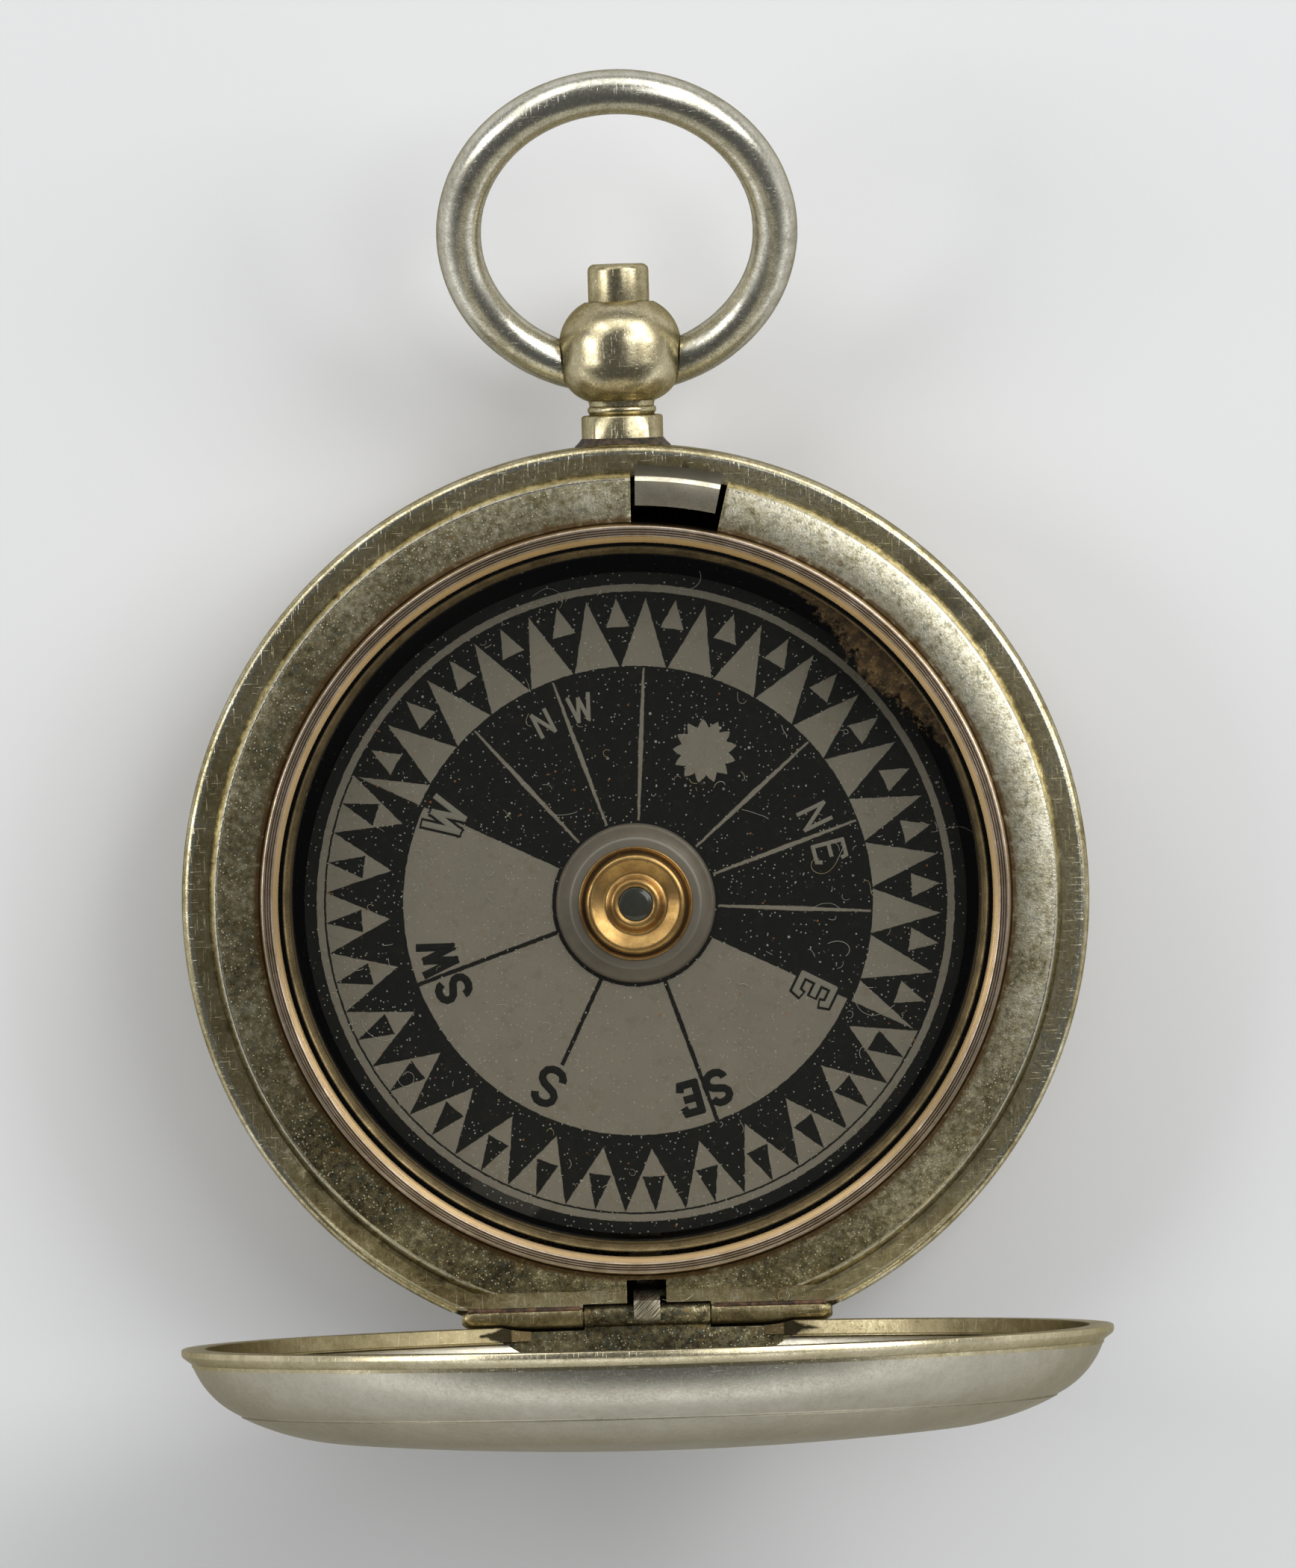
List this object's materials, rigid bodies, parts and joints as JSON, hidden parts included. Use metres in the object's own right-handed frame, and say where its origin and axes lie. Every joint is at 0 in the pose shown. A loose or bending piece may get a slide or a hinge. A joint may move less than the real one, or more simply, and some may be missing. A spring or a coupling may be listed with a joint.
{
  "type": "pocket compass",
  "caption": "Round metal pocket compass with a hinged hunter lid standing open, a floating card under glass, a push-button pendant and a swinging bow.",
  "frame": {"origin": "centre of the flat of the case's back, which it lies on", "axes": "+X to the right of the dial, +Y towards the pendant, +Z out of the dial"},
  "size_m": [0.046, 0.0683, 0.0526],
  "materials": {
    "nickel_silver": "satin, worn, warm patina",
    "grained_plate": "fine grained, dulled",
    "turned_bezel": "turned, warm patina",
    "glass": "polished, clear",
    "brass": "dulled",
    "blackened_brass": "matt black",
    "steel": "filed, dulled",
    "card": "matt black with grey printing",
    "pale_metal": "satin, pinkish grey",
    "gilt_brass": "polished gilt",
    "jewel": "polished, dark",
    "magnet_steel": "blued, dark"
  },
  "bodies": {
    "case": {"case_band": "nickel_silver", "case_back": "nickel_silver", "front_plate": "grained_plate", "glass_bezel": "turned_bezel", "crystal": "glass", "crystal_ring": "brass", "bowl": "blackened_brass", "pivot_post": "brass", "pivot_needle": "steel", "lifter_bracket": "brass", "lifter_pin": "steel", "catch_screw": "steel", "lid_spring_screw": "steel", "pendant": "nickel_silver", "hinge_knuckle_left": "nickel_silver", "hinge_knuckle_right": "nickel_silver", "hinge_pin": "steel"},
    "lid": {"lid_rim": "nickel_silver", "lid_dome": "nickel_silver", "lid_hinge_plate": "grained_plate"},
    "button": {"push_button": "nickel_silver"},
    "catch": {"catch_spring": "steel"},
    "lid_spring": {"lid_spring": "steel"},
    "lifter": {"card_lifter": "brass"},
    "jewel": {"cap_jewel": "jewel"},
    "card": {"card_disc": "card", "card_collar": "pale_metal", "card_cap": "gilt_brass", "magnet_bar": "magnet_steel"},
    "bow": {"bow": "nickel_silver"}
  },
  "joints": [
    {"name": "lid_hinge", "type": "hinge", "parent": "case", "child": "lid", "pos_m": [0, -0.0211, 0.00855], "axis": [1, 0, 0], "range_deg": [-87.5, 0], "stiffness_Nm_per_rad": 0.0018, "springref_deg": 63.03},
    {"name": "button_press", "type": "slide", "parent": "case", "child": "button", "axis": [0, -1, 0], "range_m": [0, 0.0005], "stiffness_N_per_m": 600, "springref_m": -0.0005},
    {"name": "catch_swing", "type": "hinge", "parent": "case", "child": "catch", "pos_m": [-0.00953, 0.01792, 0.0064], "axis": [0, 0, -1], "range_deg": [0, 3.05]},
    {"name": "lid_spring_swing", "type": "hinge", "parent": "case", "child": "lid_spring", "pos_m": [0.01015, -0.01758, 0.0064], "axis": [0, 0, 1], "range_deg": [-2.9, 0]},
    {"name": "lifter_swing", "type": "hinge", "parent": "case", "child": "lifter", "pos_m": [0, -0.0122, 0.0046], "axis": [1, 0, 0], "range_deg": [0, 3.5]},
    {"name": "card_lift", "type": "slide", "parent": "case", "child": "jewel", "axis": [0, 0, 1], "range_m": [0, 0.00061]},
    {"name": "card_spin", "type": "hinge", "parent": "jewel", "child": "card", "pos_m": [0, -0.0003, 0.007], "axis": [0, 0, 1], "continuous": true},
    {"name": "bow_swing", "type": "hinge", "parent": "case", "child": "bow", "pos_m": [0, 0.0276, 0.0062], "axis": [1, 0, 0], "range_deg": [-118, 62]}
  ],
  "couplings": [
    {"joint": "catch_swing", "follows": "button_press", "rad_per_m": 104.93},
    {"joint": "lid_spring_swing", "follows": "lid_hinge", "ratio": 0.032257},
    {"joint": "lifter_swing", "follows": "lid_hinge", "ratio": -0.038435},
    {"joint": "card_lift", "follows": "lid_hinge", "m_per_rad": -0.00039288}
  ]
}
